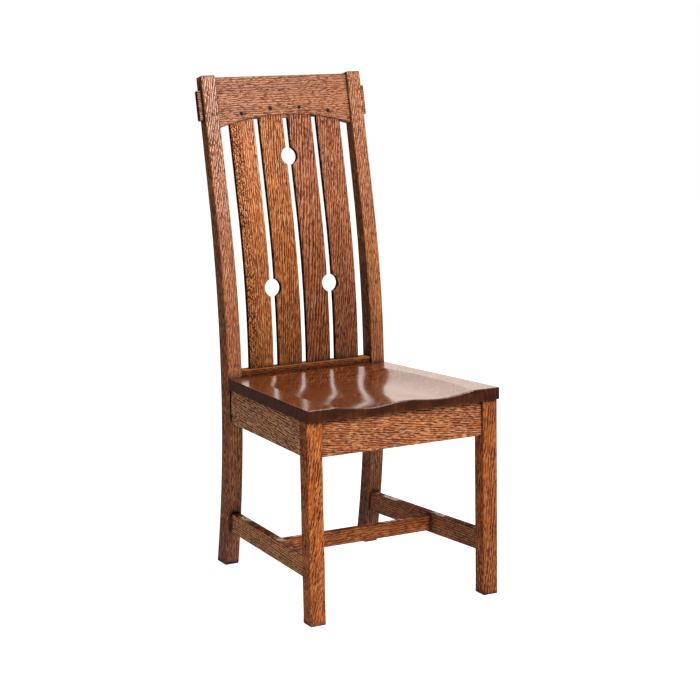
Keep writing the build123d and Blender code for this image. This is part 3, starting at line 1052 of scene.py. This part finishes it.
@dataclass
class Studio:
    """A white studio: pale floor, white surround and one large soft lamp.

    Attributes:
        floor_radius: Radius of the floor, in metres.
        floor_sides: Number of the floor's sides.
        floor_colour: Colour of the floor.
        floor_roughness: Roughness of the floor.
        floor_glow: Glow that makes the floor look white to the camera.
        floor_bounce: Glow of the floor near the chair, as far as it lights the chair.
        bounce_reach: Distances from the chair where that glow starts to fade and ends, in metres.
        mirrored_floor: Brightness of the floor in reflections.
        surround_way: Direction where the surround lights the chair most.
        surround: Light from the surround at its weakest and its strongest.
        surround_window: Closeness to that direction where the light starts to grow and is full.
        rear_way: Direction of a weak fill light on the chair's back.
        rear: Strength of that fill light.
        rear_window: Closeness to that direction where the fill starts to grow and is full.
        backdrop_way: Direction of the white backdrop that the seat mirrors.
        backdrop: Brightness in reflections, away from the backdrop and on it.
        backdrop_window: Closeness to that direction where the backdrop starts and is full.
        backdrop_colour: Colour of the backdrop.
        lamp_place: Place of the lamp.
        lamp_target: Point that the lamp looks at.
        lamp_side: Side of the square lamp, in metres.
        lamp_power: Power of the lamp, in watts.
    """

    floor_radius: float = 9.0
    floor_sides: int = 96
    floor_colour: str = "#e9e7e4"
    floor_roughness: float = 0.9
    floor_glow: float = 0.93
    floor_bounce: float = 0.9
    bounce_reach: tuple[float, float] = (0.5, 1.4)
    mirrored_floor: float = 0.1
    surround_way: Vector = field(default_factory=lambda: Vector((0.65, -0.5, 0.6)))
    surround: tuple[float, float] = (0.02, 0.42)
    surround_window: tuple[float, float] = (-0.2, 1.0)
    rear_way: Vector = field(default_factory=lambda: Vector((0.55, 0.8, 0.2)))
    rear: float = 0.3
    rear_window: tuple[float, float] = (0.2, 1.0)
    backdrop_way: Vector = field(default_factory=lambda: Vector((0.46, 0.81, 0.36)))
    backdrop: tuple[float, float] = (0.05, 1.75)
    backdrop_window: tuple[float, float] = (0.88, 0.99)
    backdrop_colour: str = "#fff2e8"
    lamp_place: Vector = field(default_factory=lambda: Vector((0.75, -2.3, 2.4)))
    lamp_target: Vector = field(default_factory=lambda: Vector((0.0, 0.0, 0.65)))
    lamp_side: float = 1.3
    lamp_power: float = 100.0

    def build(self) -> None:
        """Makes the floor, the surround and the lamp."""
        self._floor()
        self._world()
        self._lamp()

    @staticmethod
    def _seen(tree: bpy.types.NodeTree, ray: bpy.types.Node) -> bpy.types.NodeSocket:
        """Tells whether a ray is one that the camera looks along.

        Args:
            tree: The node tree.
            ray: The tree's light path node.

        Returns:
            The socket that gives 1 for such a ray, and 0 for any other.
        """
        return add_node(
            tree, "NodeMath",
            {0: ray.outputs["Is Camera Ray"], 1: ray.outputs["Is Transmission Ray"]},
            operation="MAXIMUM",
        ).outputs["Value"]

    @staticmethod
    def _towards(
        tree: bpy.types.NodeTree,
        space: bpy.types.Node,
        way: Vector,
        window: tuple[float, float],
        levels: tuple[float, float],
        interpolation: str = "LINEAR",
    ) -> bpy.types.NodeSocket:
        """Gives the world a level that grows towards one direction.

        Args:
            tree: The world's node tree.
            space: The texture coordinates.
            way: The direction.
            window: Closeness to the direction where the level starts to grow and is full.
            levels: The level away from the direction and towards it.
            interpolation: How the level grows.

        Returns:
            The level.
        """
        closeness = add_node(
            tree, "NodeVectorMath",
            {0: space.outputs["Generated"], 1: way.normalized()},
            operation="DOT_PRODUCT",
        )
        return add_node(
            tree, "NodeMapRange",
            {
                "Value": closeness.outputs["Value"],
                "From Min": window[0],
                "From Max": window[1],
                "To Min": levels[0],
                "To Max": levels[1],
            },
            interpolation_type=interpolation,
        ).outputs["Result"]

    def _floor(self) -> None:
        """Lays a pale floor that looks white and still takes the chair's shadow."""
        shape = bmesh.new()
        bmesh.ops.create_circle(
            shape, cap_ends=True, segments=self.floor_sides, radius=self.floor_radius,
        )
        mesh = bpy.data.meshes.new("floor")
        shape.to_mesh(mesh)
        shape.free()
        floor = bpy.data.objects.new("floor", mesh)
        bpy.context.scene.collection.objects.link(floor)
        mesh.materials.append(self._floor_finish())

    def _floor_finish(self) -> bpy.types.Material:
        """Makes the floor's finish: matt white, and dim where the seat's gloss mirrors it.

        Returns:
            The material.
        """
        material, tree, output = blank_material("matt_white_floor")
        ray = add_node(tree, "NodeLightPath")
        space = add_node(tree, "NodeTexCoord")
        away = add_node(tree, "NodeVectorMath", {0: space.outputs["Object"]}, operation="LENGTH")
        bounce = add_node(
            tree, "NodeMapRange",
            {
                "Value": away.outputs["Value"],
                "From Min": self.bounce_reach[0],
                "From Max": self.bounce_reach[1],
                "To Min": self.floor_bounce,
                "To Max": 0.0,
            },
            interpolation_type="SMOOTHSTEP",
        )
        glow = add_node(
            tree, "NodeMix",
            {0: self._seen(tree, ray), 2: bounce.outputs["Result"], 3: self.floor_glow},
        )
        shader = add_node(
            tree, "NodeBsdfPrincipled",
            {
                "Base Color": linear(self.floor_colour),
                "Roughness": self.floor_roughness,
                "Specular IOR Level": 0.0,
                "Emission Color": WHITE,
                "Emission Strength": glow.outputs[0],
            },
        )
        mirrored = add_node(
            tree, "NodeEmission",
            {"Color": linear(self.floor_colour), "Strength": self.mirrored_floor},
        )
        both = add_node(
            tree, "NodeMixShader",
            {
                0: ray.outputs["Is Glossy Ray"],
                1: shader.outputs["BSDF"],
                2: mirrored.outputs["Emission"],
            },
        )
        tree.links.new(both.outputs["Shader"], output.inputs["Surface"])
        return material

    def _world(self) -> None:
        """Surrounds the chair with white to look at, soft light and a backdrop to mirror."""
        world = bpy.data.worlds.new("white_surround")
        bpy.context.scene.world = world
        world.use_nodes = True
        tree = world.node_tree
        tree.nodes.clear()
        ray = add_node(tree, "NodeLightPath")
        space = add_node(tree, "NodeTexCoord")
        ambient = self._towards(
            tree, space, self.surround_way, self.surround_window, self.surround,
        )
        fill = self._towards(tree, space, self.rear_way, self.rear_window, (0.0, self.rear))
        backdrop = self._towards(
            tree, space, self.backdrop_way, self.backdrop_window, self.backdrop, "SMOOTHSTEP",
        )
        around = add_node(tree, "NodeMath", {0: ambient, 1: fill}, operation="ADD")
        glossy = ray.outputs["Is Glossy Ray"]
        lit = add_node(tree, "NodeMix", {0: glossy, 2: around.outputs["Value"], 3: backdrop})
        level = add_node(
            tree, "NodeMix",
            {0: self._seen(tree, ray), 2: lit.outputs[0], 3: 1.0},
        )
        colour = add_node(
            tree, "NodeMix",
            {0: glossy, 6: WHITE, 7: linear(self.backdrop_colour)},
            data_type="RGBA",
        )
        sky = add_node(
            tree, "NodeBackground",
            {"Color": colour.outputs[2], "Strength": level.outputs[0]},
        )
        output = add_node(tree, "NodeOutputWorld")
        tree.links.new(sky.outputs["Background"], output.inputs["Surface"])

    def _lamp(self) -> None:
        """Hangs one large soft lamp high in front, to the right."""
        lamp = bpy.data.lights.new("soft_lamp", "AREA")
        lamp.shape = "SQUARE"
        lamp.size = self.lamp_side
        lamp.energy = self.lamp_power
        holder = bpy.data.objects.new("soft_lamp", lamp)
        bpy.context.scene.collection.objects.link(holder)
        aim = (self.lamp_target - self.lamp_place).to_track_quat("-Z", "Y")
        holder.matrix_world = Matrix.Translation(self.lamp_place) @ aim.to_matrix().to_4x4()


@dataclass
class PhotoCamera:
    """The camera at the photograph's place, fitted to the chair's corners.

    Attributes:
        place: Place of the lens, in metres.
        yaw: Turn to the right from looking along +Y, in radians.
        pitch: Tilt down from level, in radians.
        roll: Turn about the line of sight, in radians.
        focal_pixels: Focal length, in pixels of the photograph.
    """

    place: Vector = field(default_factory=lambda: Vector((-1.78697, -3.47507, 1.21063)))
    yaw: float = math.radians(27.53)
    pitch: float = math.radians(10.09)
    roll: float = math.radians(-1.02)
    focal_pixels: float = 1802.8

    def build(self) -> None:
        """Makes the camera and hands it to the scene."""
        ahead = Vector((
            math.sin(self.yaw) * math.cos(self.pitch),
            math.cos(self.yaw) * math.cos(self.pitch),
            -math.sin(self.pitch),
        ))
        right = Vector((math.cos(self.yaw), -math.sin(self.yaw), 0.0))
        up = right.cross(ahead)
        right, up = (
            right * math.cos(self.roll) + up * math.sin(self.roll),
            up * math.cos(self.roll) - right * math.sin(self.roll),
        )
        camera = bpy.data.cameras.new("photo_camera")
        camera.sensor_width = SENSOR_WIDTH
        camera.lens = self.focal_pixels / IMAGE_WIDTH * SENSOR_WIDTH
        holder = bpy.data.objects.new("photo_camera", camera)
        bpy.context.scene.collection.objects.link(holder)
        turn = Matrix((right, up, -ahead)).transposed().to_4x4()
        holder.matrix_world = Matrix.Translation(self.place) @ turn
        bpy.context.scene.camera = holder


def write_sizes() -> None:
    """Updates the view layer, so that every object's transform is current; it writes nothing."""
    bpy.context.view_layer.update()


def main() -> None:
    """Builds the camera and the studio, and dresses the chair's sub-assemblies in order."""
    logging.basicConfig(level=logging.INFO, format="%(name)s: %(message)s")
    bpy.context.scene.view_settings.view_transform = "Standard"
    PhotoCamera().build()
    Studio().build()
    for assembly in (ChairBack(), SeatFrame(), Seat()):
        assembly.dress()
    write_sizes()


if __name__ == "__main__":
    main()
